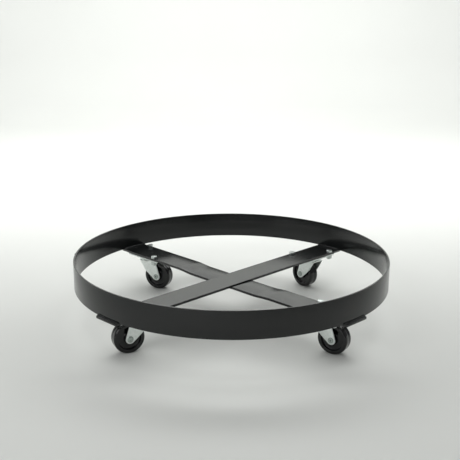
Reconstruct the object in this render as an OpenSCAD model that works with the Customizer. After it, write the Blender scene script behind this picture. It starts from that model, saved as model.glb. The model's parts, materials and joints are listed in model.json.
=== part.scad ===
// Drum dolly: a flat-bar ring that a steel drum stands in, welded on two crossed flat bars that
// roll on four swivel plate casters. Millimetres, +Z up, origin on the floor under the ring's centre.

/* [Ring] */
// Inside diameter of the ring that the drum stands in
ring_inner_d = 597.6; // [480:0.2:760]
// Height of the flat bar that the ring is rolled from
ring_h = 50.8; // [30:0.1:90]
// Thickness of the ring's flat bar
ring_t = 3.2; // [2:0.1:6]
// Width of the weld bead that closes the ring
seam_w = 8; // [4:0.5:14]
// How far the closing bead stands proud of the ring's outer wall
seam_proud = 1.6; // [0.6:0.1:3]

/* [Crossbars] */
// Width of both crossbars
bar_w = 55.2; // [42:0.1:80]
// Thickness of both crossbars
bar_t = 4.8; // [3:0.1:8]
// How far each bar end sticks out past the ring's outer wall
bar_past = 3; // [0:0.5:12]
// Depth of the notch in the upper bar's underside that the lower bar passes through
lap_depth = 2.4; // [1:0.1:2.8]
// Flat length of the lower bar on each side of the crossing, before it bends up
joggle_from = 84; // [60:1:120]
// Length over which each bend of the lower bar rises
joggle_run = 40; // [16:1:50]
// Leg of the fillet welds that hold the ring and the bars together
weld_leg = 3; // [2:0.5:5]

/* [Caster] */
// Distance from the ring's inner wall to a caster's swivel axis
caster_inset = 59.8; // [48:0.1:80]
// Length of a caster's top plate, along the bar
plate_l = 92; // [84:1:110]
// How much wider than the bar the top plate is
plate_extra_w = 1.2; // [0:0.1:8]
// Thickness of a caster's top plate
plate_t = 2.5; // [2:0.1:4]
// Bolt spacing along the bar
bolt_span = 67; // [62:0.5:80]
// Distance from a bolt's centre to the bar's long edge
bolt_edge = 4.6; // [4.4:0.1:10]

/* [Wheel] */
// Wheel diameter
wheel_d = 57; // [46:0.5:60]
// Width of the wheel's tread
wheel_w = 21; // [16:0.5:26]
// Rounding of the tread's edges
tread_r = 3.2; // [1:0.1:5]
// Distance from the swivel axis to the axle, the caster's trail
trail = 16; // [12:0.5:24]
// Outer diameter of the bushing that the wheel turns on
bushing_d = 9.5; // [8.5:0.1:12]
// Diameter of the axle rivet's shank
axle_d = 6.35; // [5:0.05:7]

/* [Swivel] */
// Thickness of the fork's sheet
fork_t = 2.5; // [2:0.1:3.5]
// Diameter of the fork's crown
crown_d = 43; // [38:0.5:50]
// Gap between the top of the wheel and the crown above it
crown_gap = 4; // [4:0.1:12]
// Depth of the dish pressed into the middle of the top plate
dish_depth = 3; // [2.6:0.1:4]
// Diameter of the kingpin rivet
kingpin_d = 8; // [6:0.1:10]
// Diameter of the load balls above the crown
upper_ball_d = 4; // [3:0.1:5]
// Diameter of the balls below the crown
lower_ball_d = 3; // [2.4:0.1:3.4]

/* [Rest angles] */
// Direction that the front left wheel trails in, counted from +X
front_left_turn = 205; // [0:1:359]
// Direction that the front right wheel trails in
front_right_turn = 328; // [0:1:359]
// Direction that the back left wheel trails in
back_left_turn = 336; // [0:1:359]
// Direction that the back right wheel trails in
back_right_turn = 130; // [0:1:359]

/* [Hidden] */
$fn = 64;
run_gap = 0.08; // radial clearance of a pin that turns
ball_gap = 0.06; // clearance round a ball in its groove
side_gap = 0.5; // clearance on each side of the wheel's hub
cut = 1; // how far a cutter runs past the faces it opens

ring_inner_r = ring_inner_d / 2;
ring_outer_r = ring_inner_r + ring_t;
upper_race_gap = upper_ball_d * 0.6; // between the dish and the crown
// height of a caster, from the floor to the top of its plate
mount_h = wheel_d + crown_gap + fork_t + upper_race_gap + plate_t + dish_depth;
deck_z = mount_h + bar_t; // top of the bars' ends, which the ring stands on
joggle_drop = bar_t - lap_depth; // how far the lower bar bends down
low_top_z = deck_z - joggle_drop; // its top where it passes through the upper bar's notch
bar_half_l = ring_outer_r + bar_past;
caster_r = ring_inner_r - caster_inset;

// bolts, nuts and washers: quarter-inch hex hardware
bolt_d = 6.35;
bolt_hole_d = 7;
hex_flats = 11.1;
hex_r = hex_flats / sqrt(3);
head_h = 4.4;
washer_d = 12;
washer_h = 1.6;
nut_h = 5.5;
bolt_end = 1.4; // thread that shows past the nut
thread_gap = 0.05;
bolt_x = bolt_span / 2;
bolt_y = bar_w / 2 - bolt_edge;
plate_w = bar_w + plate_extra_w;
plate_corner_r = 3;
plate_z = mount_h - plate_t; // underside of the plate

// swivel, from the plate down
dish_r = crown_d / 2 - 4.5; // inner radius of the dish's floor
dish_floor_z = mount_h - dish_depth;
dish_under_z = dish_floor_z - plate_t;
upper_ball_z = dish_under_z - upper_race_gap / 2;
upper_pitch_r = dish_r - upper_ball_d / 2 + 0.5;
crown_z = dish_under_z - upper_race_gap; // top of the crown
crown_under_z = crown_z - fork_t;
lower_race_gap = lower_ball_d * 0.55;
lower_ball_z = crown_under_z - lower_race_gap / 2;
lower_pitch_r = kingpin_d / 2 + lower_ball_d / 2 + 3;
race_z = crown_under_z - lower_race_gap; // top of the lower race
race_h = 1.8;
race_r = lower_pitch_r + lower_ball_d / 2 + 1;
kingpin_head_r = kingpin_d / 2 + 3;
kingpin_head_h = 2.2;
kingpin_end_r = kingpin_d / 2 + 1.5;
kingpin_end_h = 1.6;
ball_spacing = 1.08; // ball pitch as a share of the ball's diameter

// wheel and axle
wheel_r = wheel_d / 2;
axle_z = wheel_r;
hub_w = wheel_w + 2;
hub_r = bushing_d / 2 + 4.5;
web_w = wheel_w * 0.5;
rim_inner_r = wheel_r - 7.5;
bushing_l = hub_w + 2 * side_gap;
leg_in = bushing_l / 2; // inner face of a fork leg, from the wheel's middle
leg_out = leg_in + fork_t;
tip_r = bushing_d / 2 + 3.75; // rounded end of a leg
tip_bite = 0.95; // how deep the leg's straight edges run into that end, as a share of its radius
leg_rear_u = 3; // how far ahead of the axle the leg's trailing edge meets the crown
waist_u = -4.5; // where that edge is halfway down
waist_v = 17;
shoulder_u = 25; // where the leading edge of the leg bends, ahead of the axle
shoulder_v = 11; // and its height above the axle
shoulder_r = 6; // rounding of that bend
rivet_head_r = axle_d / 2 + 2.6;
rivet_head_h = 2;
rivet_end_r = axle_d / 2 + 2;
rivet_end_h = 1.7;
rivet_hollow_d = 3;
rivet_hollow_l = 6;

// directions that the four bar ends point in
front_left_bar = 225;
front_right_bar = 315;
back_left_bar = 135;
back_right_bar = 45;

paint = "#232625";
zinc = "#c3cbc6";
steel = "#9aa0a2";
rubber = "#141516";

// ---- frame ----

module ring() {
    color(paint) translate([0, 0, deck_z])
        rotate_extrude($fn = 256)
            translate([ring_inner_r, 0]) square([ring_t, ring_h]);
}

// A bead down the joint of the rolled bar, flush inside and proud outside.
module ring_seam_weld() {
    bead_r = (seam_w * seam_w / 4 + seam_proud * seam_proud) / (2 * seam_proud);
    color(paint) translate([-ring_outer_r, 0, deck_z]) linear_extrude(ring_h) intersection() {
        translate([bead_r - seam_proud, 0]) circle(bead_r, $fn = 256);
        translate([-seam_proud - cut, -seam_w]) square([seam_proud + cut, 2 * seam_w]);
    }
}

// Bolt holes for the two casters under one bar that lies along X.
module bar_bolt_holes() {
    for (end = [-1, 1]) for (x = [-bolt_x, bolt_x]) for (y = [-bolt_y, bolt_y])
        translate([end * caster_r + x, y, deck_z - bar_t - cut])
            cylinder(d = bolt_hole_d, h = bar_t + 2 * cut);
}

// Straight bar with a notch across its underside, which the lower bar lies in.
module upper_crossbar() {
    color(paint) rotate(45) difference() {
        translate([-bar_half_l, -bar_w / 2, deck_z - bar_t])
            cube([2 * bar_half_l, bar_w, bar_t]);
        translate([-bar_w / 2, -bar_w, deck_z - bar_t - cut])
            cube([bar_w, 2 * bar_w, lap_depth + cut]);
        bar_bolt_holes();
    }
}

// Side outline of the lower bar, which is bent down a little to pass through that notch.
module joggled_outline() {
    bend_to = joggle_from + joggle_run;
    polygon([
        [-bar_half_l, deck_z], [-bend_to, deck_z],
        [-joggle_from, low_top_z], [joggle_from, low_top_z],
        [bend_to, deck_z], [bar_half_l, deck_z],
        [bar_half_l, deck_z - bar_t], [bend_to, deck_z - bar_t],
        [joggle_from, low_top_z - bar_t], [-joggle_from, low_top_z - bar_t],
        [-bend_to, deck_z - bar_t], [-bar_half_l, deck_z - bar_t]
    ]);
}

module lower_crossbar() {
    color(paint) rotate(135) difference() {
        translate([0, bar_w / 2, 0]) rotate([90, 0, 0])
            linear_extrude(bar_w) joggled_outline();
        bar_bolt_holes();
    }
}

// Fillets under the upper bar, along both edges of the lower one.
module crossbar_centre_welds() {
    color(paint) rotate(135) for (side = [0, 1]) mirror([0, side, 0])
        translate([-bar_w / 2, bar_w / 2, deck_z - bar_t]) rotate([90, 0, 90])
            linear_extrude(bar_w) polygon([[0, 0], [joggle_drop, 0], [0, -joggle_drop]]);
}

// Fillets between the ring and each bar end, outside and inside the ring.
module ring_to_bar_welds() {
    half_turn = asin(bar_w / 2 / ring_outer_r);
    color(paint) for (bar = [45 : 90 : 315]) rotate(bar - half_turn) translate([0, 0, deck_z]) {
        rotate_extrude(angle = 2 * half_turn, $fn = 256) polygon([
            [ring_outer_r, 0], [ring_outer_r + weld_leg, 0], [ring_outer_r, weld_leg]
        ]);
        rotate_extrude(angle = 2 * half_turn, $fn = 256) polygon([
            [ring_inner_r, 0], [ring_inner_r, weld_leg], [ring_inner_r - weld_leg, 0]
        ]);
    }
}

// ---- caster pieces, built round the swivel axis with the bar along X ----

module four_holes() {
    for (x = [-bolt_x, bolt_x]) for (y = [-bolt_y, bolt_y]) translate([x, y, 0]) children();
}

// Two of the four holes have a bolt, on a diagonal.
module two_bolts() {
    for (end = [-1, 1]) translate([end * bolt_x, -end * bolt_y, 0]) children();
}

// Rectangle with rounded corners, centred.
module rounded_plate(l, w, r, h) {
    linear_extrude(h) {
        square([l - 2 * r, w], center = true);
        square([l, w - 2 * r], center = true);
        for (x = [-1, 1]) for (y = [-1, 1])
            translate([x * (l / 2 - r), y * (w / 2 - r)]) circle(r);
    }
}

// Groove that a ring of balls runs in.
module ball_groove(pitch_r, ball_d, z) {
    translate([0, 0, z]) rotate_extrude($fn = 96)
        translate([pitch_r, 0]) circle(d = ball_d + 2 * ball_gap, $fn = 32);
}

// Flat plate with a dish pressed down in the middle, whose underside is the upper ball race.
module top_plate() {
    color(zinc) difference() {
        union() {
            translate([0, 0, plate_z]) rounded_plate(plate_l, plate_w, plate_corner_r, plate_t);
            translate([0, 0, dish_under_z]) cylinder(r = dish_r + plate_t, h = plate_z - dish_under_z + cut);
        }
        translate([0, 0, dish_floor_z]) cylinder(r = dish_r, h = mount_h - dish_floor_z + cut);
        translate([0, 0, dish_under_z - cut]) cylinder(d = kingpin_d, h = plate_t + 2 * cut);
        ball_groove(upper_pitch_r, upper_ball_d, upper_ball_z);
        four_holes() translate([0, 0, plate_z - cut]) cylinder(d = bolt_hole_d, h = plate_t + 2 * cut);
    }
}

// Rivet from the dish's floor down through the crown and the lower race.
module kingpin() {
    shank_top = dish_floor_z;
    shank_end = race_z - race_h;
    color(steel) {
        translate([0, 0, shank_top]) cylinder(r = kingpin_head_r, h = kingpin_head_h);
        translate([0, 0, shank_end]) cylinder(d = kingpin_d, h = shank_top - shank_end);
        translate([0, 0, shank_end - kingpin_end_h]) cylinder(r = kingpin_end_r, h = kingpin_end_h);
    }
}

module ball_ring(pitch_r, ball_d, z) {
    count = floor(180 / asin(ball_d * ball_spacing / 2 / pitch_r));
    color(steel) for (i = [0 : count - 1]) rotate(i * 360 / count)
        translate([pitch_r, 0, z]) sphere(d = ball_d, $fn = 24);
}

module lower_race() {
    color(zinc) difference() {
        translate([0, 0, race_z - race_h]) cylinder(r = race_r, h = race_h);
        translate([0, 0, race_z - race_h - cut]) cylinder(d = kingpin_d, h = race_h + 2 * cut);
        ball_groove(lower_pitch_r, lower_ball_d, lower_ball_z);
    }
}

module bolts() {
    shank_end = plate_z - washer_h - nut_h - bolt_end;
    color(zinc) two_bolts() {
        translate([0, 0, deck_z]) rotate(30) cylinder(r = hex_r, h = head_h, $fn = 6);
        translate([0, 0, shank_end]) cylinder(d = bolt_d, h = deck_z - shank_end);
    }
}

module washers() {
    color(zinc) two_bolts() difference() {
        translate([0, 0, plate_z - washer_h]) cylinder(d = washer_d, h = washer_h);
        translate([0, 0, plate_z - washer_h - cut])
            cylinder(d = bolt_hole_d, h = washer_h + 2 * cut);
    }
}

module nuts() {
    nut_z = plate_z - washer_h - nut_h;
    color(zinc) two_bolts() difference() {
        translate([0, 0, nut_z]) rotate(30) cylinder(r = hex_r, h = nut_h, $fn = 6);
        translate([0, 0, nut_z - cut]) cylinder(d = bolt_d + 2 * thread_gap, h = nut_h + 2 * cut);
    }
}

// ---- pieces that swivel, with the wheel trailing along +X ----

// Side outline of a leg: u runs from the axle towards the swivel axis, v up from the axle.
module leg_outline() {
    crown_front = trail + crown_d / 2;
    top_v = crown_z - axle_z;
    lean = asin(tip_r / norm([shoulder_u, shoulder_v])) + atan2(shoulder_v, shoulder_u);
    difference() {
        union() {
            circle(tip_r);
            polygon([
                [-tip_r * tip_bite, 0], [waist_u, waist_v], [leg_rear_u, top_v],
                [crown_front, top_v], [crown_front, top_v - fork_t],
                [shoulder_u + shoulder_r / 2, shoulder_v + shoulder_r],
                [shoulder_u, shoulder_v],
                tip_r * tip_bite * [sin(lean), -cos(lean)]
            ]);
        }
        circle(d = axle_d);
    }
}

module fork() {
    color(zinc) difference() {
        union() {
            translate([0, 0, crown_under_z]) cylinder(d = crown_d, h = fork_t);
            for (side = [leg_out, -leg_in])
                translate([trail, side, axle_z]) mirror([1, 0, 0])
                    rotate([90, 0, 0]) linear_extrude(fork_t) leg_outline();
        }
        translate([0, 0, crown_under_z - cut])
            cylinder(d = kingpin_d + 2 * run_gap, h = fork_t + 2 * cut);
        ball_groove(upper_pitch_r, upper_ball_d, upper_ball_z);
        ball_groove(lower_pitch_r, lower_ball_d, lower_ball_z);
    }
}

module bushing() {
    color(steel) translate([trail, leg_in, axle_z]) rotate([90, 0, 0]) difference() {
        cylinder(d = bushing_d, h = bushing_l);
        translate([0, 0, -cut]) cylinder(d = axle_d, h = bushing_l + 2 * cut);
    }
}

// Semi-tubular rivet: a low head on one side, a rolled end on the other, hollow at both ends.
module axle() {
    color(zinc) translate([trail, leg_out, axle_z]) rotate([90, 0, 0]) difference() {
        union() {
            translate([0, 0, -rivet_head_h]) cylinder(r = rivet_head_r, h = rivet_head_h);
            cylinder(d = axle_d, h = 2 * leg_out);
            translate([0, 0, 2 * leg_out]) cylinder(r = rivet_end_r, h = rivet_end_h);
        }
        translate([0, 0, -rivet_head_h - cut]) cylinder(d = rivet_hollow_d, h = rivet_head_h + cut);
        translate([0, 0, 2 * leg_out + rivet_end_h - rivet_hollow_l])
            cylinder(d = rivet_hollow_d, h = rivet_hollow_l + cut);
    }
}

// Half section of the moulded wheel: radius along X, width along Y.
module wheel_section() {
    bore_r = bushing_d / 2 + run_gap;
    edge_r = wheel_r - tread_r;
    translate([bore_r, -hub_w / 2]) square([hub_r - bore_r, hub_w]);
    translate([hub_r - cut, -web_w / 2]) square([rim_inner_r - hub_r + 2 * cut, web_w]);
    translate([rim_inner_r, -wheel_w / 2]) square([edge_r - rim_inner_r, wheel_w]);
    translate([rim_inner_r, tread_r - wheel_w / 2]) square([wheel_r - rim_inner_r, wheel_w - 2 * tread_r]);
    for (side = [-1, 1]) translate([edge_r, side * (wheel_w / 2 - tread_r)]) circle(tread_r);
}

module wheel() {
    color(rubber) translate([trail, 0, axle_z]) rotate([90, 0, 0])
        rotate_extrude($fn = 96) wheel_section();
}

// ---- placing ----

// Puts a caster's fixed pieces under the bar end that points in the direction bar.
module at_caster(bar) {
    rotate(bar) translate([caster_r, 0, 0]) children();
}

// Puts a caster's swivelling pieces there, with the fork turned to the direction turn.
module at_swivel(bar, turn) {
    rotate(bar) translate([caster_r, 0, 0]) rotate(turn - bar) children();
}

ring();
ring_seam_weld();
upper_crossbar();
lower_crossbar();
crossbar_centre_welds();
ring_to_bar_welds();

at_caster(front_left_bar) top_plate();  // front_left_plate
at_caster(front_left_bar) kingpin();  // front_left_kingpin
at_swivel(front_left_bar, front_left_turn) ball_ring(upper_pitch_r, upper_ball_d, upper_ball_z);  // front_left_upper_balls
at_swivel(front_left_bar, front_left_turn) ball_ring(lower_pitch_r, lower_ball_d, lower_ball_z);  // front_left_lower_balls
at_caster(front_left_bar) lower_race();  // front_left_lower_race
at_swivel(front_left_bar, front_left_turn) fork();  // front_left_fork
at_swivel(front_left_bar, front_left_turn) wheel();  // front_left_wheel
at_swivel(front_left_bar, front_left_turn) bushing();  // front_left_bushing
at_swivel(front_left_bar, front_left_turn) axle();  // front_left_axle
at_caster(front_left_bar) bolts();  // front_left_bolts
at_caster(front_left_bar) washers();  // front_left_washers
at_caster(front_left_bar) nuts();  // front_left_nuts

at_caster(front_right_bar) top_plate();  // front_right_plate
at_caster(front_right_bar) kingpin();  // front_right_kingpin
at_swivel(front_right_bar, front_right_turn) ball_ring(upper_pitch_r, upper_ball_d, upper_ball_z);  // front_right_upper_balls
at_swivel(front_right_bar, front_right_turn) ball_ring(lower_pitch_r, lower_ball_d, lower_ball_z);  // front_right_lower_balls
at_caster(front_right_bar) lower_race();  // front_right_lower_race
at_swivel(front_right_bar, front_right_turn) fork();  // front_right_fork
at_swivel(front_right_bar, front_right_turn) wheel();  // front_right_wheel
at_swivel(front_right_bar, front_right_turn) bushing();  // front_right_bushing
at_swivel(front_right_bar, front_right_turn) axle();  // front_right_axle
at_caster(front_right_bar) bolts();  // front_right_bolts
at_caster(front_right_bar) washers();  // front_right_washers
at_caster(front_right_bar) nuts();  // front_right_nuts

at_caster(back_left_bar) top_plate();  // back_left_plate
at_caster(back_left_bar) kingpin();  // back_left_kingpin
at_swivel(back_left_bar, back_left_turn) ball_ring(upper_pitch_r, upper_ball_d, upper_ball_z);  // back_left_upper_balls
at_swivel(back_left_bar, back_left_turn) ball_ring(lower_pitch_r, lower_ball_d, lower_ball_z);  // back_left_lower_balls
at_caster(back_left_bar) lower_race();  // back_left_lower_race
at_swivel(back_left_bar, back_left_turn) fork();  // back_left_fork
at_swivel(back_left_bar, back_left_turn) wheel();  // back_left_wheel
at_swivel(back_left_bar, back_left_turn) bushing();  // back_left_bushing
at_swivel(back_left_bar, back_left_turn) axle();  // back_left_axle
at_caster(back_left_bar) bolts();  // back_left_bolts
at_caster(back_left_bar) washers();  // back_left_washers
at_caster(back_left_bar) nuts();  // back_left_nuts

at_caster(back_right_bar) top_plate();  // back_right_plate
at_caster(back_right_bar) kingpin();  // back_right_kingpin
at_swivel(back_right_bar, back_right_turn) ball_ring(upper_pitch_r, upper_ball_d, upper_ball_z);  // back_right_upper_balls
at_swivel(back_right_bar, back_right_turn) ball_ring(lower_pitch_r, lower_ball_d, lower_ball_z);  // back_right_lower_balls
at_caster(back_right_bar) lower_race();  // back_right_lower_race
at_swivel(back_right_bar, back_right_turn) fork();  // back_right_fork
at_swivel(back_right_bar, back_right_turn) wheel();  // back_right_wheel
at_swivel(back_right_bar, back_right_turn) bushing();  // back_right_bushing
at_swivel(back_right_bar, back_right_turn) axle();  // back_right_axle
at_caster(back_right_bar) bolts();  // back_right_bolts
at_caster(back_right_bar) washers();  // back_right_washers
at_caster(back_right_bar) nuts();  // back_right_nuts
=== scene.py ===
# Drum dolly: the looks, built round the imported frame. Metres, floor at z = 0, front towards -Y.
import json
import math

import bmesh
import bpy
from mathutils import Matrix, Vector


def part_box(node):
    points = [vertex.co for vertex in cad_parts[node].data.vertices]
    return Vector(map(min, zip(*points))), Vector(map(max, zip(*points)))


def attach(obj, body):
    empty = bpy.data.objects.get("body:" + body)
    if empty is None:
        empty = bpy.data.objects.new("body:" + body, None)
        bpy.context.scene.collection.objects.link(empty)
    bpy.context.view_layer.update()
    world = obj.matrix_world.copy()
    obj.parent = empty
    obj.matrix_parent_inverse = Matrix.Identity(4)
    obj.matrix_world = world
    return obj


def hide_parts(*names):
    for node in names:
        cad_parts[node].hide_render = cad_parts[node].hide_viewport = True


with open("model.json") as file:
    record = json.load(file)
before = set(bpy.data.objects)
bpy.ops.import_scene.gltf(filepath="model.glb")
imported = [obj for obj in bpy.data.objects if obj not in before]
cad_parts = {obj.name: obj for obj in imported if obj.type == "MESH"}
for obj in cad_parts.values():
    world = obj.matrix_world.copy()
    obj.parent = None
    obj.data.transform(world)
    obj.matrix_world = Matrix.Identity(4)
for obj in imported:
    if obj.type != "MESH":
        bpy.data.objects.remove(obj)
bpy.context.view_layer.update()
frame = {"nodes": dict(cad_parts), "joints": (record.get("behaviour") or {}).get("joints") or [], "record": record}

mm = 0.001
fullTurn = 2 * math.pi
hair = 0.01 * mm  # closer than this, two points are one
past = 1 * mm  # how far a cutter runs past the faces it opens


def deselectAll():
    if bpy.context.mode != "OBJECT":
        bpy.ops.object.mode_set(mode="OBJECT")
    bpy.ops.object.select_all(action="DESELECT")


def choose(piece):
    deselectAll()
    piece.select_set(True)
    bpy.context.view_layer.objects.active = piece


def edit(piece):
    choose(piece)
    bpy.ops.object.mode_set(mode="EDIT")
    bpy.ops.mesh.select_mode(type="VERT")
    bpy.ops.mesh.select_all(action="SELECT")


def doneEditing():
    bpy.ops.object.mode_set(mode="OBJECT")


def pick(piece, kind, wanted):
    # in edit mode: selects the vertices, edges or faces whose place or normal is wanted
    bpy.ops.mesh.select_mode(type=kind)
    bpy.ops.mesh.select_all(action="DESELECT")
    shape = bmesh.from_edit_mesh(piece.data)
    parts = {"VERT": shape.verts, "EDGE": shape.edges, "FACE": shape.faces}[kind]
    for part in parts:
        if wanted(part):
            part.select_set(True)
    shape.select_flush_mode()
    bmesh.update_edit_mesh(piece.data)


def named(name):
    piece = bpy.context.object
    piece.name = name
    piece.data.name = name
    return piece


def fixPlace(piece):
    choose(piece)
    bpy.ops.object.transform_apply(location=True, rotation=True, scale=True)


def moveTo(piece, place=(0, 0, 0), turn=(0, 0, 0)):
    # moves the whole piece, then makes that its place in the mesh
    piece.location = place
    piece.rotation_euler = turn
    fixPlace(piece)
    return piece


def modify(piece, kind, **settings):
    modifier = piece.modifiers.new(kind.lower(), kind)
    for key, value in settings.items():
        setattr(modifier, key, value)
    choose(piece)
    bpy.ops.object.modifier_apply(modifier=modifier.name)


def roundEdges(piece, width, segments=2, angle=30):
    modify(piece, "BEVEL", width=width, segments=segments, limit_method="ANGLE",
           angle_limit=math.radians(angle), use_clamp_overlap=False)


def combine(piece, other, operation):
    modify(piece, "BOOLEAN", object=other, operation=operation, solver="EXACT")
    bpy.data.objects.remove(other)


def smooth(piece, angle=35):
    choose(piece)
    bpy.ops.object.shade_smooth_by_angle(angle=math.radians(angle))


def tidyMesh(piece):
    edit(piece)
    bpy.ops.mesh.remove_doubles(threshold=hair)
    bpy.ops.mesh.normals_make_consistent(inside=False)
    doneEditing()


def join(pieces, name):
    deselectAll()
    for piece in pieces:
        piece.select_set(True)
    bpy.context.view_layer.objects.active = pieces[0]
    bpy.ops.object.join()
    return named(name)


def copyOf(piece, name):
    choose(piece)
    bpy.ops.object.duplicate(linked=False)
    return named(name)


def rod(name, radius, low, high, at=(0, 0), vertices=48):
    deselectAll()
    bpy.ops.mesh.primitive_cylinder_add(vertices=vertices, radius=radius, depth=high - low,
                                        location=(at[0], at[1], (low + high) / 2))
    piece = named(name)
    fixPlace(piece)
    return piece


def slab(name, size, centre):
    deselectAll()
    bpy.ops.mesh.primitive_cube_add(size=1, location=centre, scale=size)
    piece = named(name)
    fixPlace(piece)
    return piece


def drawOutline(name, points):
    # a plane shrunk to one point, which is then extruded from corner to corner
    deselectAll()
    bpy.ops.mesh.primitive_plane_add(size=1)
    piece = named(name)
    edit(piece)
    bpy.ops.mesh.merge(type="CENTER")
    here = Vector(points[0])
    bpy.ops.transform.translate(value=here)
    for point in points[1:]:
        there = Vector(point)
        bpy.ops.mesh.extrude_region_move(TRANSFORM_OT_translate={"value": there - here})
        here = there
    bpy.ops.mesh.select_all(action="SELECT")
    bpy.ops.mesh.remove_doubles(threshold=hair)
    bpy.ops.mesh.select_all(action="SELECT")
    return piece


def turned(name, outline, steps=64, closed=True):
    # spins an outline of (radius, height) points about Z; one that isn't closed ends on the axis
    points = [(radius, 0, height) for radius, height in outline]
    piece = drawOutline(name, points + points[:1] if closed else points)
    bpy.ops.mesh.spin(steps=steps, angle=fullTurn, center=(0, 0, 0), axis=(0, 0, 1))
    doneEditing()
    tidyMesh(piece)
    return piece


def prism(name, outline, low, high):
    # fills an outline of (x, z) points and pulls it along Y from low to high
    points = [(x, low, z) for x, z in outline]
    piece = drawOutline(name, points + points[:1])
    bpy.ops.mesh.edge_face_add()
    bpy.ops.mesh.extrude_region_move(TRANSFORM_OT_translate={"value": (0, high - low, 0)})
    doneEditing()
    tidyMesh(piece)
    return piece


def arc(centreR, centreZ, radius, fromDeg, toDeg, count=5):
    angles = [math.radians(fromDeg + (toDeg - fromDeg) * i / count) for i in range(count + 1)]
    return [(centreR + radius * math.cos(a), centreZ + radius * math.sin(a)) for a in angles]


def sweep(start, pull, end, count=10):
    # a curve from start to end that leans towards pull
    points = []
    for i in range(count + 1):
        t = i / count
        points.append(tuple(a * (1 - t) ** 2 + 2 * b * t * (1 - t) + c * t ** 2
                            for a, b, c in zip(start, pull, end)))
    return points


# where things are, from the frame
joints = {joint["name"]: joint for joint in frame["joints"]}
ringLow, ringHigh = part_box("ring")
barLow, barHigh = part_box("upper_crossbar")
deckZ = barHigh.z
barT = barHigh.z - barLow.z
barDrop = barLow.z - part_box("lower_crossbar")[0].z
ringOuterR = ringHigh.x
plateTopZ = joints["front_left_swivel_turn"]["pos_m"][2]
axleZ = joints["front_left_wheel_roll"]["pos_m"][2]

casters = []
for corner in ("front_left", "front_right", "back_left", "back_right"):
    swivelAt = Vector(joints[corner + "_swivel_turn"]["pos_m"])
    wheelAt = Vector(joints[corner + "_wheel_roll"]["pos_m"])
    trailing = wheelAt - swivelAt
    casters.append({
        "corner": corner,
        "centre": (swivelAt.x, swivelAt.y, 0),
        "bar": math.atan2(swivelAt.y, swivelAt.x),
        "turn": math.atan2(trailing.y, trailing.x),
    })
trail = Vector((trailing.x, trailing.y)).length
casterR = Vector(casters[0]["centre"]).length
print("frame read: deck", round(deckZ, 4), "caster radius", round(casterR, 4), "trail", round(trail, 4))

camera = {
    "place": (-0.0015, -1.6398, deckZ + 0.5731),
    "tilt": (73.873, -0.187, 0.107),  # degrees about X, Y, Z
    "lens": 69.635,
    "sensor": 36,
}


def addCamera():
    deselectAll()
    bpy.ops.object.camera_add(location=camera["place"],
                              rotation=[math.radians(a) for a in camera["tilt"]])
    bpy.context.object.data.lens = camera["lens"]
    bpy.context.object.data.sensor_width = camera["sensor"]
    bpy.context.scene.camera = bpy.context.object
    bpy.context.scene.view_settings.view_transform = "Standard"


addCamera()


def hexColour(code):
    # an sRGB hex code as linear light
    channels = [int(code[i:i + 2], 16) / 255 for i in (1, 3, 5)]
    linear = [c / 12.92 if c <= 0.04045 else ((c + 0.055) / 1.055) ** 2.4 for c in channels]
    return (*linear, 1)


def perMetre(sizeMm):
    return 1000 / sizeMm


def addNode(tree, kind, settings=None, links=None):
    # settings are the node's own properties, or sockets by name or number; links go socket to socket
    node = tree.nodes.new(kind)
    for key, value in (settings or {}).items():
        if isinstance(key, str) and hasattr(node, key):
            setattr(node, key, value)
        else:
            node.inputs[key].default_value = value
    for key, source in (links or {}).items():
        tree.links.new(source, node.inputs[key])
    return node


def newMaterial(name):
    material = bpy.data.materials.new(name)
    material.use_nodes = True
    tree = material.node_tree
    tree.nodes.clear()
    return material, tree


# Black alkyd enamel sprayed on hot-rolled flat bar: an even gloss with faint orange peel over the
# steel's long waves, a trace of settled dust on what faces up, and paint rubbed thin on the rim.
enamel = {
    "colour": "#121414", "dusty": "#343635", "rubbed": "#4c4f4e",
    "roughness": (0.17, 0.23), "dustRange": (0.02, 0.12), "ior": 1.5,
    "peelMm": 1.6, "peelDeep": 0.03 * mm, "waveMm": 120, "waveDeep": 0.4 * mm,
    "dustMm": 60, "chipMm": 1.2, "rimMm": 0.9,
}


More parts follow.
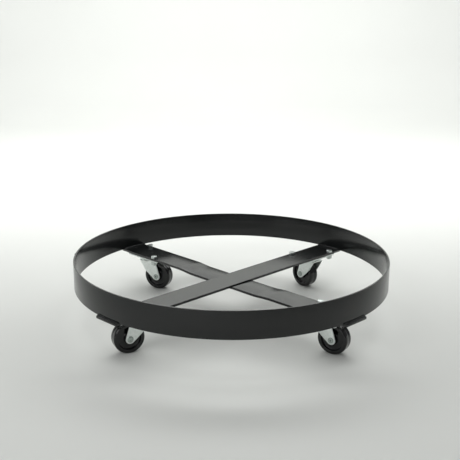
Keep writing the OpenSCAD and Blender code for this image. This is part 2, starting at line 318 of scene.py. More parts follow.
def makeEnamel():
    look = enamel
    material, tree = newMaterial("sprayedBlackEnamel")
    place = addNode(tree, "ShaderNodeTexCoord").outputs["Object"]
    facing = addNode(tree, "ShaderNodeNewGeometry").outputs["Normal"]
    dust = addNode(tree, "ShaderNodeTexNoise",
                   {"Scale": perMetre(look["dustMm"]), "Detail": 6.0, "Roughness": 0.65},
                   {"Vector": place}).outputs["Fac"]
    upward = addNode(tree, "ShaderNodeSeparateXYZ", links={0: facing}).outputs[2]
    lying = addNode(tree, "ShaderNodeMapRange", {1: 0.6, 2: 1.0, 3: 0.0, 4: 1.0}, {0: upward})
    least, most = look["dustRange"]
    patches = addNode(tree, "ShaderNodeMapRange", {1: 0.35, 2: 0.72, 3: least, 4: most}, {0: dust})
    settled = addNode(tree, "ShaderNodeMath", {"operation": "MULTIPLY"},
                      {0: lying.outputs[0], 1: patches.outputs[0]})
    dusted = addNode(tree, "ShaderNodeMix",
                     {"data_type": "RGBA", 6: hexColour(look["colour"]), 7: hexColour(look["dusty"])},
                     {0: settled.outputs[0]})
    # the ring's top edge, where drums slide over it
    height = addNode(tree, "ShaderNodeSeparateXYZ", links={0: place}).outputs[2]
    rim = addNode(tree, "ShaderNodeMapRange",
                  {1: ringHigh.z - look["rimMm"] * mm, 2: ringHigh.z, 3: 0.0, 4: 1.0}, {0: height})
    chips = addNode(tree, "ShaderNodeTexNoise", {"Scale": perMetre(look["chipMm"]), "Detail": 3.0},
                    {"Vector": place}).outputs["Fac"]
    chipped = addNode(tree, "ShaderNodeMapRange", {1: 0.54, 2: 0.66, 3: 0.0, 4: 1.0}, {0: chips})
    bare = addNode(tree, "ShaderNodeMath", {"operation": "MULTIPLY"},
                   {0: rim.outputs[0], 1: chipped.outputs[0]})
    colour = addNode(tree, "ShaderNodeMix", {"data_type": "RGBA", 7: hexColour(look["rubbed"])},
                     {0: bare.outputs[0], 6: dusted.outputs[2]})
    low, high = look["roughness"]
    gloss = addNode(tree, "ShaderNodeMapRange", {1: 0.3, 2: 0.7, 3: low, 4: high}, {0: dust})
    waves = addNode(tree, "ShaderNodeTexNoise", {"Scale": perMetre(look["waveMm"]), "Detail": 1.0},
                    {"Vector": place}).outputs["Fac"]
    rolled = addNode(tree, "ShaderNodeBump", {"Strength": 0.3, "Distance": look["waveDeep"]},
                     {"Height": waves})
    peel = addNode(tree, "ShaderNodeTexNoise", {"Scale": perMetre(look["peelMm"]), "Detail": 2.0},
                   {"Vector": place}).outputs["Fac"]
    skin = addNode(tree, "ShaderNodeBump", {"Strength": 0.1, "Distance": look["peelDeep"]},
                   {"Height": peel, "Normal": rolled.outputs[0]})
    shader = addNode(tree, "ShaderNodeBsdfPrincipled", {"IOR": look["ior"]},
                     {"Base Color": colour.outputs[2], "Roughness": gloss.outputs[0],
                      "Normal": skin.outputs[0]})
    addNode(tree, "ShaderNodeOutputMaterial", links={"Surface": shader.outputs[0]})
    return material


# Zinc electroplate with a clear blue-green passivate: satin and slightly mottled, as the steel
# under it is pressed, cold-headed, turned or ground, with fine handling marks.
platings = {
    "zinc_plating": {"name": "zincPlatedPressedSteel", "colour": "#e9edeb", "tint": "#dde3e0",
                     "stain": "#b4bbb8", "roughness": (0.28, 0.38), "mottleMm": 5, "markMm": 0.9},
    "zinc_bolts": {"name": "zincPlatedColdHeadedSteel", "colour": "#d3d8d6", "tint": "#c0c8c5",
                   "stain": "#969d9a", "roughness": (0.24, 0.36), "mottleMm": 2.5, "markMm": 0.6},
    "zinc_rivet": {"name": "zincPlatedRolledRivet", "colour": "#b9c0bc", "tint": "#9ea8a4",
                   "stain": "#7a827f", "roughness": (0.26, 0.40), "mottleMm": 2, "markMm": 0.5},
    "plain_steel": {"name": "oiledTurnedSteel", "colour": "#9c9fa1", "tint": "#82868a",
                    "stain": "#5d5a55", "roughness": (0.22, 0.38), "mottleMm": 3, "markMm": 0.4},
    "bearing_steel": {"name": "greasedGroundBallSteel", "colour": "#b8babc", "tint": "#989690",
                      "stain": "#6e665a", "roughness": (0.08, 0.22), "mottleMm": 2, "markMm": 0.8},
}


markDeep = 0.04 * mm  # handling marks in the zinc and the bare steel


def makePlating(look):
    material, tree = newMaterial(look["name"])
    place = addNode(tree, "ShaderNodeTexCoord").outputs["Object"]
    mottle = addNode(tree, "ShaderNodeTexNoise",
                     {"Scale": perMetre(look["mottleMm"]), "Detail": 4.0, "Roughness": 0.6},
                     {"Vector": place}).outputs["Fac"]
    marks = addNode(tree, "ShaderNodeTexNoise",
                    {"Scale": perMetre(look["markMm"]), "Detail": 3.0, "Roughness": 0.6},
                    {"Vector": place}).outputs["Fac"]
    patches = addNode(tree, "ShaderNodeMapRange", {1: 0.35, 2: 0.65, 3: 0.0, 4: 1.0}, {0: mottle})
    tinted = addNode(tree, "ShaderNodeMix",
                     {"data_type": "RGBA", 6: hexColour(look["colour"]), 7: hexColour(look["tint"])},
                     {0: patches.outputs[0]})
    worn = addNode(tree, "ShaderNodeMapRange", {1: 0.6, 2: 0.8, 3: 0.0, 4: 0.6}, {0: marks})
    colour = addNode(tree, "ShaderNodeMix", {"data_type": "RGBA", 7: hexColour(look["stain"])},
                     {0: worn.outputs[0], 6: tinted.outputs[2]})
    low, high = look["roughness"]
    gloss = addNode(tree, "ShaderNodeMapRange", {1: 0.3, 2: 0.7, 3: low, 4: high}, {0: mottle})
    skin = addNode(tree, "ShaderNodeBump", {"Strength": 0.2, "Distance": markDeep}, {"Height": marks})
    shader = addNode(tree, "ShaderNodeBsdfPrincipled", {"Metallic": 1.0},
                     {"Base Color": colour.outputs[2], "Roughness": gloss.outputs[0],
                      "Normal": skin.outputs[0]})
    addNode(tree, "ShaderNodeOutputMaterial", links={"Surface": shader.outputs[0]})
    return material


# Injection-moulded black polyolefin: deep and glossy, with faint flow marks and light scuffs.
moulded = {
    "colour": "#08090a", "scuff": "#2b2c2e", "roughness": (0.09, 0.16), "scuffRoughness": 0.4,
    "ior": 1.5, "flowMm": 9, "scuffMm": 1.3, "scuffDeep": 0.03 * mm,
}


def makeMoulded():
    look = moulded
    material, tree = newMaterial("mouldedBlackPolyolefin")
    place = addNode(tree, "ShaderNodeTexCoord").outputs["Object"]
    flow = addNode(tree, "ShaderNodeTexNoise", {"Scale": perMetre(look["flowMm"]), "Detail": 3.0},
                   {"Vector": place}).outputs["Fac"]
    scuffs = addNode(tree, "ShaderNodeTexNoise",
                     {"Scale": perMetre(look["scuffMm"]), "Detail": 5.0, "Roughness": 0.7},
                     {"Vector": place}).outputs["Fac"]
    worn = addNode(tree, "ShaderNodeMapRange", {1: 0.6, 2: 0.8, 3: 0.0, 4: 0.35}, {0: scuffs})
    colour = addNode(tree, "ShaderNodeMix",
                     {"data_type": "RGBA", 6: hexColour(look["colour"]), 7: hexColour(look["scuff"])},
                     {0: worn.outputs[0]})
    low, high = look["roughness"]
    clean = addNode(tree, "ShaderNodeMapRange", {1: 0.3, 2: 0.7, 3: low, 4: high}, {0: flow})
    gloss = addNode(tree, "ShaderNodeMix", {"data_type": "FLOAT", 3: look["scuffRoughness"]},
                    {0: worn.outputs[0], 2: clean.outputs[0]})
    skin = addNode(tree, "ShaderNodeBump", {"Strength": 0.08, "Distance": look["scuffDeep"]},
                   {"Height": scuffs})
    shader = addNode(tree, "ShaderNodeBsdfPrincipled", {"IOR": look["ior"]},
                     {"Base Color": colour.outputs[2], "Roughness": gloss.outputs[0],
                      "Normal": skin.outputs[0]})
    addNode(tree, "ShaderNodeOutputMaterial", links={"Surface": shader.outputs[0]})
    return material


finishes = {"black_paint": makeEnamel(), "moulded_black": makeMoulded()}
for slotName, look in platings.items():
    finishes[slotName] = makePlating(look)
slotOf = {part["node"]: part["material_slot"] for part in frame["record"]["subparts"]}
for node, piece in frame["nodes"].items():
    piece.data.materials.clear()
    piece.data.materials.append(finishes[slotOf[node]])
print("finishes:", len(finishes))


def standFor(piece, node, body):
    # the piece takes over the CAD node's body and finish, and the CAD node is hidden
    piece.data.materials.clear()
    piece.data.materials.append(finishes[slotOf[node]])
    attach(piece, body)
    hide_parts(node)


def standAtCasters(master, what, body, direction):
    # copies a piece that was built round the swivel axis to the four casters
    for caster in casters:
        corner = caster["corner"]
        piece = copyOf(master, corner + "_" + what + "_look")
        moveTo(piece, caster["centre"], (0, 0, caster[direction]))
        standFor(piece, corner + "_" + what, "frame" if body == "frame" else corner + "_" + body)
    bpy.data.objects.remove(master)
    print("placed four:", what)


# Flat bar rolled into a hoop: the mill edges are a little round.
ringLook = {"thick": 3.2 * mm, "edge": 0.6 * mm, "steps": 288}


def makeRing():
    look = ringLook
    inner, e = ringOuterR - look["thick"], look["edge"]
    outline = arc(ringOuterR - e, ringLow.z + e, e, -90, 0, 3)
    outline += arc(ringOuterR - e, ringHigh.z - e, e, 0, 90, 3)
    outline += arc(inner + e, ringHigh.z - e, e, 90, 180, 3)
    outline += arc(inner + e, ringLow.z + e, e, 180, 270, 3)
    ring = turned("ring_look", outline, look["steps"])
    smooth(ring, 50)
    standFor(ring, "ring", "frame")


# Flat bars with rounded mill edges; the lower one bends down a little to pass under the upper one.
barLook = {
    "pastRing": 3 * mm, "edge": 0.6 * mm, "bendFrom": 84 * mm, "bendRun": 40 * mm, "bendCuts": 8,
    "holeR": 3.5 * mm, "holeX": 33.5 * mm, "holeInset": 4.6 * mm,
}
barHalfL = ringOuterR + barLook["pastRing"]
barHalfW = barHigh.x * math.sqrt(2) - barHalfL
boltX = barLook["holeX"]
boltY = barHalfW - barLook["holeInset"]
upperBarTurn, lowerBarTurn = math.radians(45), math.radians(135)


def makeBar(name, turn):
    bar = slab(name + "_look", (2 * barHalfL, 2 * barHalfW, barT), (0, 0, deckZ - barT / 2))
    if name == "lower_crossbar":
        bendDown(bar)
    roundEdges(bar, barLook["edge"], 3, 45)
    if name == "upper_crossbar":
        notch = slab("notch", (2 * barHalfW, 2 * barHalfW + 2 * past, barDrop + past),
                     (0, 0, deckZ - barT + (barT - barDrop) / 2 - past / 2))
        combine(bar, notch, "DIFFERENCE")
    cutters = []
    for end in (-1, 1):
        for x in (-boltX, boltX):
            for y in (-boltY, boltY):
                cutters.append(rod("drill", barLook["holeR"], deckZ - barT - past, deckZ + past,
                                   (end * casterR + x, y), 32))
    combine(bar, join(cutters, "drills"), "DIFFERENCE")
    moveTo(bar, turn=(0, 0, turn))
    smooth(bar, 40)
    standFor(bar, name, "frame")


def bendDown(bar):
    look = barLook
    stops = [look["bendFrom"] + look["bendRun"] * i / look["bendCuts"] for i in range(look["bendCuts"] + 1)]
    edit(bar)
    for stop in stops:
        for side in (-1, 1):
            bpy.ops.mesh.select_all(action="SELECT")
            bpy.ops.mesh.bisect(plane_co=(side * stop, 0, 0), plane_no=(1, 0, 0))
    for i, stop in enumerate(stops[:-1]):
        share = (1 + math.cos(math.pi * i / look["bendCuts"])) / 2
        pick(bar, "VERT", lambda v: abs(abs(v.co.x) - stop) < hair)
        bpy.ops.transform.translate(value=(0, 0, -barDrop * share))
    doneEditing()


# A laid weld is a row of overlapping puddles, each a flattened drop.
beadLook = {
    "pitch": 1.5 * mm, "halfLength": 1.7 * mm, "grain": 0.4 * mm, "legShare": 0.95, "buried": 0.4 * mm,
}


def makeBead(places, drop, turns, cutAt, cutNormal):
    # drop is half of each drop's size along its own X, Y and Z; what is past the cut goes
    drops = []
    for place, turn in zip(places, turns):
        deselectAll()
        bpy.ops.mesh.primitive_uv_sphere_add(segments=12, ring_count=8, radius=1, location=place,
                                             rotation=(0, 0, turn), scale=drop)
        drops.append(bpy.context.object)
    bead = join(drops, "bead")
    fixPlace(bead)
    modify(bead, "REMESH", mode="VOXEL", voxel_size=beadLook["grain"])
    modify(bead, "SMOOTH", factor=0.5, iterations=2)
    edit(bead)
    bpy.ops.mesh.bisect(plane_co=cutAt, plane_no=cutNormal, use_fill=True, clear_outer=True)
    doneEditing()
    return bead


def finishWeld(beads, node):
    weld = join(beads, node + "_look")
    smooth(weld, 80)
    standFor(weld, node, "frame")


def makeSeamWeld():
    # upright across the hoop's joint, so each drop's long way is up
    low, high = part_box("ring_seam_weld")
    halfWidth, proud = (high.y - low.y) / 2, -ringOuterR - low.x
    run = high.z - low.z - 2 * beadLook["halfLength"]
    count = int(run / beadLook["pitch"])
    places = [(-ringOuterR, 0, low.z + beadLook["halfLength"] + run * i / count) for i in range(count + 1)]
    drop = (proud, halfWidth, beadLook["halfLength"])
    cutAt = (beadLook["buried"] - ringOuterR, 0, 0)
    finishWeld([makeBead(places, drop, [0] * len(places), cutAt, (1, 0, 0))], "ring_seam_weld")


def makeRingWelds():
    # fillets where the ring stands on each bar end, outside and inside it
    leg = (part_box("ring_to_bar_welds")[1].z - deckZ) * beadLook["legShare"]
    drop = (leg, beadLook["halfLength"], leg)
    beads = []
    for caster in casters:
        for radius in (ringOuterR, ringOuterR - ringLook["thick"]):
            half = math.asin((barHalfW - beadLook["halfLength"]) / radius)
            count = int(2 * half * radius / beadLook["pitch"])
            angles = [caster["bar"] - half + 2 * half * i / count for i in range(count + 1)]
            places = [(radius * math.cos(a), radius * math.sin(a), deckZ) for a in angles]
            beads.append(makeBead(places, drop, angles, (0, 0, deckZ - beadLook["buried"]), (0, 0, -1)))
    finishWeld(beads, "ring_to_bar_welds")


def makeCentreWelds():
    # fillets under the upper bar, along both edges of the lower one
    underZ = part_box("crossbar_centre_welds")[1].z
    leg = barDrop * beadLook["legShare"]
    drop = (leg, beadLook["halfLength"], leg)
    along = Vector((math.cos(lowerBarTurn), math.sin(lowerBarTurn), 0))
    across = Vector((-along.y, along.x, 0))
    half = barHalfW - beadLook["halfLength"]
    count = int(2 * half / beadLook["pitch"])
    beads = []
    for side in (-1, 1):
        places = [across * side * barHalfW + along * (-half + 2 * half * i / count)
                  + Vector((0, 0, underZ)) for i in range(count + 1)]
        turns = [lowerBarTurn + math.pi / 2] * len(places)
        beads.append(makeBead(places, drop, turns, (0, 0, underZ), (0, 0, 1)))
    finishWeld(beads, "crossbar_centre_welds")


makeRing()
makeBar("upper_crossbar", upperBarTurn)
makeBar("lower_crossbar", lowerBarTurn)
makeSeamWeld()
makeRingWelds()
makeCentreWelds()
print("frame pieces made")


# Plate pressed from strip: round corners, and a dish whose underside is the upper ball race.
plateLook = {
    "length": 92 * mm, "widerThanBar": 1.2 * mm, "thick": 2.5 * mm, "corner": 3 * mm,
    "dishR": 17 * mm, "dishDepth": 3 * mm, "dishBend": 1.6 * mm, "mouthBend": 1.4 * mm,
    "edge": 0.35 * mm, "pinR": 4 * mm, "neckFillet": 0.6 * mm, "lap": 0.8 * mm,
}
swivelLook = {
    "crownR": 21.5 * mm, "sheet": 2.5 * mm, "upperBallD": 4 * mm, "upperBallR": 15.5 * mm,
    "lowerBallD": 3 * mm, "lowerBallR": 8.5 * mm, "raceR": 11 * mm, "raceH": 1.8 * mm, "raceRound": 0.4 * mm,
    "ballRoom": 0.06 * mm, "turnRoom": 0.08 * mm,
}
plateUnderZ = plateTopZ - plateLook["thick"]
dishFloorZ = plateTopZ - plateLook["dishDepth"]
dishUnderZ = dishFloorZ - plateLook["thick"]
upperGap = 0.6 * swivelLook["upperBallD"]  # less than a ball, as both sides are grooved
upperBallZ = dishUnderZ - upperGap / 2
crownZ = dishUnderZ - upperGap
crownUnderZ = crownZ - swivelLook["sheet"]
raceTopZ = crownUnderZ - 0.55 * swivelLook["lowerBallD"]
raceUnderZ = raceTopZ - swivelLook["raceH"]
lowerBallZ = (crownUnderZ + raceTopZ) / 2


def ballGroove(pitchR, ballD, height):
    radius = ballD / 2 + swivelLook["ballRoom"]
    return turned("groove", arc(pitchR, height, radius, 0, 337.5, 15), 64)


def makePlates():
    look = plateLook
    plate = slab("plate", (look["length"], 2 * barHalfW + look["widerThanBar"], look["thick"]),
                 (0, 0, plateTopZ - look["thick"] / 2))
    edit(plate)
    pick(plate, "EDGE", lambda e: abs(e.verts[0].co.z - e.verts[1].co.z) > hair)
    bpy.ops.mesh.bevel(offset=look["corner"], segments=6, affect="EDGES")
    doneEditing()
    roundEdges(plate, look["edge"], 2)
    outerR = look["dishR"] + look["thick"]
    bend, mouth, neck = look["dishBend"], look["mouthBend"], look["neckFillet"]
    lapZ = plateTopZ - look["lap"]
    cup = [(0, dishUnderZ)] + arc(outerR - bend, dishUnderZ + bend, bend, -90, 0, 4)
    cup += [(outerR, plateUnderZ - neck), (outerR + neck, plateUnderZ + neck / 3), (outerR, lapZ), (0, lapZ)]
    combine(plate, turned("cup", cup, 96, closed=False), "UNION")
    hollow = [(0, dishFloorZ)] + arc(look["dishR"] - bend / 2, dishFloorZ + bend / 2, bend / 2, -90, 0, 4)
    hollow += arc(look["dishR"] + mouth, plateTopZ - mouth, mouth, 180, 90, 4)
    hollow += [(look["dishR"] + mouth, plateTopZ + past), (0, plateTopZ + past)]
    combine(plate, turned("hollow", hollow, 96, closed=False), "DIFFERENCE")
    cutters = [rod("bore", look["pinR"], dishUnderZ - past, dishFloorZ + past)]
    for x in (-boltX, boltX):
        for y in (-boltY, boltY):
            cutters.append(rod("drill", barLook["holeR"], plateUnderZ - past, plateTopZ + past, (x, y), 32))
    cutters.append(ballGroove(swivelLook["upperBallR"], swivelLook["upperBallD"], upperBallZ))
    combine(plate, join(cutters, "cutters"), "DIFFERENCE")
    smooth(plate, 35)
    standAtCasters(plate, "plate", "frame", "bar")


# Rivet that holds the swivel together: a wide low head in the dish and a set end below.
kingpinLook = {
    "headR": 7 * mm, "headH": 2.2 * mm, "flatShare": 0.55, "fall": 0.2 * mm, "round": 0.7 * mm,
    "endR": 5.5 * mm, "endH": 1.6 * mm, "dimple": 0.6 * mm,
}


def makeKingpins():
    look = kingpinLook
    r, top, bottom = look["round"], dishFloorZ + look["headH"], raceUnderZ - look["endH"]
    dimpleZ = bottom + look["dimple"]
    outline = [(0, top), (look["headR"] * look["flatShare"], top - look["fall"] / 2)]
    outline += arc(look["headR"] - r, top - r - look["fall"], r, 80, 0, 4)
    outline += [(look["headR"], dishFloorZ), (plateLook["pinR"], dishFloorZ), (plateLook["pinR"], raceUnderZ)]
    outline += [(look["endR"], raceUnderZ)] + arc(look["endR"] - r, bottom + r, r, 0, -80, 4)
    outline += [(look["endR"] * 0.4, bottom + look["dimple"] / 12), (look["endR"] * 0.25, dimpleZ)]
    outline += [(0, dimpleZ)]
    pin = turned("kingpin", outline, 64, closed=False)
    smooth(pin, 40)
    standAtCasters(pin, "kingpin", "frame", "bar")


def makeLowerRaces():
    look = swivelLook
    r = look["raceRound"]
    outline = arc(look["raceR"] - r, raceTopZ - r, r, 90, 0, 3)
    outline += arc(look["raceR"] - 2 * r, raceUnderZ + 2 * r, 2 * r, 0, -90, 4)
    outline += [(plateLook["pinR"], raceUnderZ), (plateLook["pinR"], raceTopZ)]
    race = turned("race", outline, 64)
    combine(race, ballGroove(look["lowerBallR"], look["lowerBallD"], lowerBallZ), "DIFFERENCE")
    smooth(race, 40)
    standAtCasters(race, "lower_race", "frame", "bar")


# Quarter-inch hex hardware: chamfered heads, split spring washers, rolled threads.
boltLook = {
    "shankR": 3.175 * mm, "rootR": 2.7 * mm, "threadPitch": 1.27 * mm, "flats": 11.1 * mm,
    "headH": 4.4 * mm, "washerR": 6 * mm, "washerH": 1.6 * mm, "washerBoreR": 3.5 * mm,
    "nutH": 5.5 * mm, "endPastNut": 1.4 * mm, "splitW": 0.9 * mm, "splitTilt": 20, "splitTurn": 40,
    "headRound": 0.15 * mm, "nutRound": 0.12 * mm, "washerRound": 0.25 * mm, "crownShare": 0.96,
    "rootLead": 0.4 * mm, "endChamfer": 0.3 * mm, "headLap": 0.5 * mm, "boreRoom": 0.05 * mm,
    "mouthLow": 0.9 * mm, "mouthHigh": 0.6 * mm, "fallenTurn": 17,
}
boltPlaces = [(boltX, -boltY), (-boltX, boltY)]  # a diagonal of the four holes


def hexBlock(name, low, high, crownBoth):
    # a hexagon whose corners are turned off at the top, and at the bottom too on a nut
    flats = boltLook["flats"]
    block = rod(name, flats / math.sqrt(3), low, high, vertices=6)
    moveTo(block, turn=(0, 0, math.radians(30)))
    corner = flats / math.sqrt(3)
    faceR = flats / 2 * boltLook["crownShare"]
    slope = (corner - faceR) * math.tan(math.radians(30))
    outline = [(0, high), (faceR, high), (corner + hair, high - slope)]
    if crownBoth:
        outline += [(corner + hair, low + slope), (faceR, low), (0, low)]
    else:
        outline += [(corner + hair, low), (0, low)]
    combine(block, turned("turnedOff", outline, 64, closed=False), "INTERSECT")
    return block


def atBoltPlaces(master, name):
    pieces = []
    for i, (x, y) in enumerate(boltPlaces):
        piece = copyOf(master, name + str(i))
        pieces.append(moveTo(piece, (x, y, 0), (0, 0, math.radians(boltLook["fallenTurn"] * i))))
    bpy.data.objects.remove(master)
    return join(pieces, name)


def makeBolts():
    look = boltLook
    head = hexBlock("bolt", deckZ, deckZ + look["headH"], False)
    roundEdges(head, look["headRound"], 2, 25)
    end = plateUnderZ - look["washerH"] - look["nutH"] - look["endPastNut"]
    outline = [(0, end), (look["rootR"] - look["endChamfer"], end)]
    height = end + look["rootLead"]
    while height < end + look["endPastNut"] + look["nutH"]:
        outline += [(look["rootR"], height), (look["shankR"], height + look["threadPitch"] / 2)]
        height += look["threadPitch"]
    lapZ = deckZ + look["headLap"]
    outline += [(look["shankR"], height), (look["shankR"], lapZ), (0, lapZ)]
    combine(head, turned("shank", outline, 32, closed=False), "UNION")
    bolts = atBoltPlaces(head, "bolts")
    smooth(bolts, 35)
    standAtCasters(bolts, "bolts", "frame", "bar")


def makeWashers():
    look = boltLook
    top, r = plateUnderZ, look["washerRound"]
    outline = arc(look["washerR"] - r, top - r, r, 90, 0, 3)
    outline += arc(look["washerR"] - r, top - look["washerH"] + r, r, 0, -90, 3)
    outline += arc(look["washerBoreR"] + r, top - look["washerH"] + r, r, -90, -180, 3)
    outline += arc(look["washerBoreR"] + r, top - r, r, 180, 90, 3)
    washer = turned("washer", outline, 48)
    split = slab("split", (look["washerR"] + past, look["splitW"], 3 * look["washerH"]),
                 ((look["washerR"] + past) / 2, 0, top - look["washerH"] / 2))
    moveTo(split, turn=(math.radians(look["splitTilt"]), 0, math.radians(look["splitTurn"])))
    combine(washer, split, "DIFFERENCE")
    washers = atBoltPlaces(washer, "washers")
    smooth(washers, 40)
    standAtCasters(washers, "washers", "frame", "bar")


def makeNuts():
    look = boltLook
    top = plateUnderZ - look["washerH"]
    bottom = top - look["nutH"]
    nut = hexBlock("nut", bottom, top, True)
    roundEdges(nut, look["nutRound"], 2, 25)
    boreR, lowMouth, highMouth = look["shankR"] + look["boreRoom"], look["mouthLow"], look["mouthHigh"]
    bore = [(0, bottom - past), (look["shankR"] + lowMouth + past, bottom - past),
            (boreR, bottom + lowMouth), (boreR, top - highMouth),
            (look["shankR"] + highMouth + past, top + past), (0, top + past)]
    combine(nut, turned("bore", bore, 48, closed=False), "DIFFERENCE")
    nuts = atBoltPlaces(nut, "nuts")
    smooth(nuts, 35)
    standAtCasters(nuts, "nuts", "frame", "bar")


makePlates()
makeKingpins()
makeLowerRaces()
makeBolts()
makeWashers()
makeNuts()

# Fork pressed from 2.5 mm sheet: a round crown with two legs folded down beside the wheel.
# Places along a leg are from the axle, towards the swivel axis and up.
forkLook = {
    "legIn": 12 * mm, "bend": 3.4 * mm, "tipR": 8.5 * mm, "edge": 0.4 * mm, "rimRound": 1.1 * mm,
    "rearTop": 3 * mm, "rearPull": (-4.8 * mm, 15 * mm), "frontLip": 3.2 * mm,
    "shoulder": (26 * mm, 12 * mm), "pastShoulder": (3.5 * mm, 7 * mm), "leaveShare": 0.7,
    "axleR": 3.175 * mm,
}


def legOutline():
    look = forkLook
    tip, top = look["tipR"], crownZ - axleZ
    front = trail + swivelLook["crownR"]
    lean = math.degrees(math.atan2(*reversed(look["shoulder"])))
    lean += math.degrees(math.asin(tip / math.hypot(*look["shoulder"])))
    outline = arc(0, 0, tip, 180, 270 + lean, 14)  # round the tip, from the rear edge to the front one
    lastX, lastZ = outline[-1]
    leave = [a + (b - a) * look["leaveShare"] for a, b in zip((lastX, lastZ), look["shoulder"])]
    above = [a + b for a, b in zip(look["shoulder"], look["pastShoulder"])]
    outline += sweep(leave, look["shoulder"], above, 6)
    outline += [(front, top - look["frontLip"]), (front, top), (look["rearTop"], top)]
    outline += sweep((look["rearTop"], top), look["rearPull"], (-tip, 0), 12)[1:-1]
    return [(trail - u, axleZ + v) for u, v in outline]


def makeForks():
    look, sheet = forkLook, swivelLook["sheet"]
    outY = look["legIn"] + sheet
    bend = look["bend"]
    low = axleZ - look["tipR"] - past
    # the folded channel, seen from the end: out round one leg, over, down the other and back inside
    across = [(outY, low)] + arc(outY - bend, crownZ - bend, bend, 0, 90, 5)
    across += arc(bend - outY, crownZ - bend, bend, 90, 180, 5) + [(-outY, low), (-look["legIn"], low)]
    inner = bend - sheet
    across += arc(inner - look["legIn"], crownUnderZ - inner, inner, 180, 90, 4)
    across += arc(look["legIn"] - inner, crownUnderZ - inner, inner, 90, 0, 4) + [(look["legIn"], low)]
    front, rear = trail + look["tipR"] + past, -swivelLook["crownR"] - past
    channel = prism("fork", across, rear, front)
    moveTo(channel, turn=(0, 0, math.radians(-90)))
    combine(channel, prism("side", legOutline(), -outY - past, outY + past), "INTERSECT")
    roundEdges(channel, look["edge"], 2, 50)
    r = look["rimRound"]
    crown = [(0, crownUnderZ + hair), (swivelLook["crownR"] - r, crownUnderZ + hair)]
    crown += arc(swivelLook["crownR"] - r, crownUnderZ + hair + r, r, -90, 0, 4)
    crown += arc(swivelLook["crownR"] - r, crownZ - hair - r, r, 0, 90, 4) + [(0, crownZ - hair)]
    combine(channel, turned("crown", crown, 96, closed=False), "UNION")
    cutters = [rod("bore", plateLook["pinR"] + swivelLook["turnRoom"], crownUnderZ - past, crownZ + past),
               ballGroove(swivelLook["upperBallR"], swivelLook["upperBallD"], upperBallZ),
               ballGroove(swivelLook["lowerBallR"], swivelLook["lowerBallD"], lowerBallZ)]
    axleHole = rod("axleHole", look["axleR"], -outY - past, outY + past)
    cutters.append(moveTo(axleHole, (trail, 0, axleZ), (math.radians(90), 0, 0)))
    combine(channel, join(cutters, "cutters"), "DIFFERENCE")
    smooth(channel, 35)
    standAtCasters(channel, "fork", "swivel", "turn")


# Wheel moulded in one piece: hub, thin web, and a heavy rim with rounded tread edges.
wheelLook = {
    "boreR": 4.83 * mm, "hubR": 9.25 * mm, "hubHalfW": 11.5 * mm, "webHalfW": 5.25 * mm,
    "rimInR": 21 * mm, "halfW": 10.5 * mm, "treadR": 3.2 * mm, "fillet": 2 * mm, "soft": 0.8 * mm,
    "partingLine": 0.12 * mm, "partingHalfW": 0.5 * mm, "boreChamfer": 0.4 * mm, "steps": 96,
}


def wheelSide():
    # half of the section, from the bore out to the middle of the tread
    look = wheelLook
    wheelR = axleZ
    f, s, c = look["fillet"], look["soft"], look["boreChamfer"]
    side = [(look["boreR"], look["hubHalfW"] - c), (look["boreR"] + c, look["hubHalfW"])]
    side += arc(look["hubR"] - s, look["hubHalfW"] - s, s, 90, 0, 4)
    side += arc(look["hubR"] + f, look["webHalfW"] + f, f, 180, 270, 5)
    side += arc(look["rimInR"] - f, look["webHalfW"] + f, f, -90, 0, 5)
    side += arc(look["rimInR"] + s, look["halfW"] - s, s, 180, 90, 4)
    side += arc(wheelR - look["treadR"], look["halfW"] - look["treadR"], look["treadR"], 90, 0, 7)
    side += [(wheelR, look["partingHalfW"]), (wheelR - look["partingLine"], 0)]
    return side


def makeWheels():
    side = wheelSide()
    outline = side + [(radius, -height) for radius, height in reversed(side[:-1])]
    wheel = turned("wheel", outline, wheelLook["steps"])
    moveTo(wheel, (trail, 0, axleZ), (math.radians(90), 0, 0))
    smooth(wheel, 40)
    standAtCasters(wheel, "wheel", "roller", "turn")


# Semi-tubular rivet through the legs, with a domed head on one side and a rolled end on the other.
axleLook = {
    "shankR": 3.175 * mm, "headR": 5.775 * mm, "headH": 2 * mm, "endR": 5.175 * mm, "endH": 1.7 * mm,
    "hollowR": 1.5 * mm, "hollowL": 3.6 * mm, "dimple": 0.8 * mm, "lip": 0.7 * mm, "rim": 0.4 * mm,
    "domeFrom": 0.5 * mm, "undercut": 0.2 * mm, "bushR": 4.75 * mm, "bushChamfer": 0.4 * mm,
}


def makeAxles():
    look = axleLook
    out = forkLook["legIn"] + swivelLook["sheet"]
    top, bottom = out + look["headH"], -out - look["endH"]
    hollowR, headR = look["hollowR"], look["headR"]
    outline = [(0, top - look["dimple"]), (hollowR * 0.7, top - look["dimple"]), (hollowR, top)]
    outline += sweep((hollowR + look["rim"], top), (headR, top), (headR, out + look["domeFrom"]), 6)
    outline += [(headR - look["undercut"], out), (look["shankR"], out), (look["shankR"], -out)]
    outline += [(look["endR"] - 1.5 * look["undercut"], -out)]
    outline += arc(look["endR"] - look["endH"] / 2, -out - look["endH"] / 2, look["endH"] / 2, 40, -90, 5)
    outline += arc(hollowR + look["lip"], bottom + look["lip"], look["lip"], -90, -180, 4)
    outline += [(hollowR, bottom + look["hollowL"]), (0, bottom + look["hollowL"])]
    axle = turned("axle", outline, 48, closed=False)
    moveTo(axle, (trail, 0, axleZ), (math.radians(-90), 0, 0))
    smooth(axle, 40)
    standAtCasters(axle, "axle", "swivel", "turn")


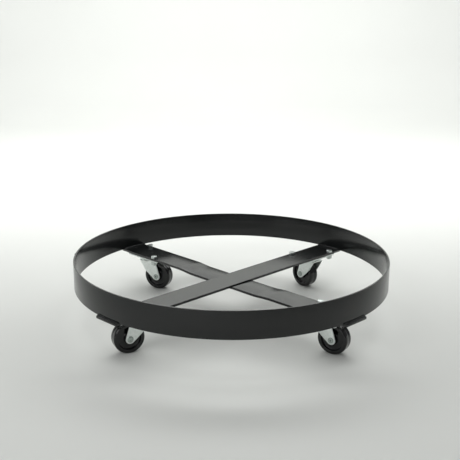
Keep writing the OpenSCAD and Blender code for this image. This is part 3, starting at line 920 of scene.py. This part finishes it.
def makeBushings():
    look = axleLook
    half, c = forkLook["legIn"], look["bushChamfer"]
    outline = [(look["shankR"], -half), (look["bushR"] - c, -half), (look["bushR"], -half + c),
               (look["bushR"], half - c), (look["bushR"] - c, half), (look["shankR"], half)]
    bushing = turned("bushing", outline, 48)
    moveTo(bushing, (trail, 0, axleZ), (math.radians(90), 0, 0))
    smooth(bushing, 30)
    standAtCasters(bushing, "bushing", "swivel", "turn")


makeForks()
makeWheels()
makeAxles()
makeBushings()

# Pale painted floor that sweeps up behind. Soft light comes from above, from low over the floor
# behind the dolly, from the front left, and onto the sweep, which the crossbars mirror.
studio = {
    "floor": "#d6d8d4", "floorPatch": "#dadcd8", "patchMm": 400, "reach": 5.0, "cells": 8, "sweepFrom": 2.2,
    "sweep": ((0.05, 0.3), (0.2, 0.35), (0.4, 0.3), (0.6, 0.15), (4.0, 0.0)),  # rise and run of each strip
    "sky": "#f6f7f8", "skyStrength": 0.28,
    "lamps": {
        "softboxTop": {"place": (0.0, -0.1, 2.4), "aim": (0, -0.1, 0), "size": (2.4, 1.6), "power": 14},
        "softboxBack": {"place": (0.0, 1.1, 1.1), "aim": (0, 1.1, 0), "size": (3.0, 0.5), "power": 20},
        "softboxFront": {"place": (-1.6, -2.6, 1.6), "aim": (0, 0, 0.05), "size": (2.8, 1.8), "power": 42},
        "softboxWall": {"place": (0.0, 1.4, 2.6), "aim": (0, 3.3, 1.5), "size": (3.0, 0.8), "power": 74},
    },
}


def makeFloor():
    look = studio
    material, tree = newMaterial("paintedStudioFloor")
    place = addNode(tree, "ShaderNodeTexCoord").outputs["Object"]
    tone = addNode(tree, "ShaderNodeTexNoise", {"Scale": perMetre(look["patchMm"]), "Detail": 3.0},
                   {"Vector": place}).outputs["Fac"]
    colour = addNode(tree, "ShaderNodeMix",
                     {"data_type": "RGBA", 6: hexColour(look["floor"]), 7: hexColour(look["floorPatch"])},
                     {0: tone})
    shader = addNode(tree, "ShaderNodeBsdfPrincipled", {"Roughness": 0.7}, {"Base Color": colour.outputs[2]})
    addNode(tree, "ShaderNodeOutputMaterial", links={"Surface": shader.outputs[0]})
    deselectAll()
    bpy.ops.mesh.primitive_grid_add(x_subdivisions=look["cells"], y_subdivisions=look["cells"],
                                    size=2 * look["reach"])
    floor = named("studioFloor")
    edit(floor)
    bpy.ops.transform.translate(value=(0, look["sweepFrom"] - look["reach"], 0))
    pick(floor, "VERT", lambda v: v.co.y > look["sweepFrom"] - hair)
    for rise, run in look["sweep"]:
        bpy.ops.mesh.extrude_region_move(TRANSFORM_OT_translate={"value": (0, run, rise)})
    doneEditing()
    smooth(floor, 80)
    floor.data.materials.append(material)


def lightStudio():
    world = bpy.data.worlds.new("studioSky")
    bpy.context.scene.world = world
    world.use_nodes = True
    sky = world.node_tree.nodes["Background"]
    sky.inputs["Color"].default_value = hexColour(studio["sky"])
    sky.inputs["Strength"].default_value = studio["skyStrength"]
    for name, look in studio["lamps"].items():
        deselectAll()
        aim = Vector(look["aim"]) - Vector(look["place"])
        bpy.ops.object.light_add(type="AREA", location=look["place"],
                                 rotation=aim.to_track_quat("-Z", "Y").to_euler())
        lamp = bpy.context.object
        lamp.name = name
        lamp.data.shape = "RECTANGLE"
        lamp.data.size, lamp.data.size_y = look["size"]
        lamp.data.energy = look["power"]


makeFloor()
lightStudio()
print("floor and light set")
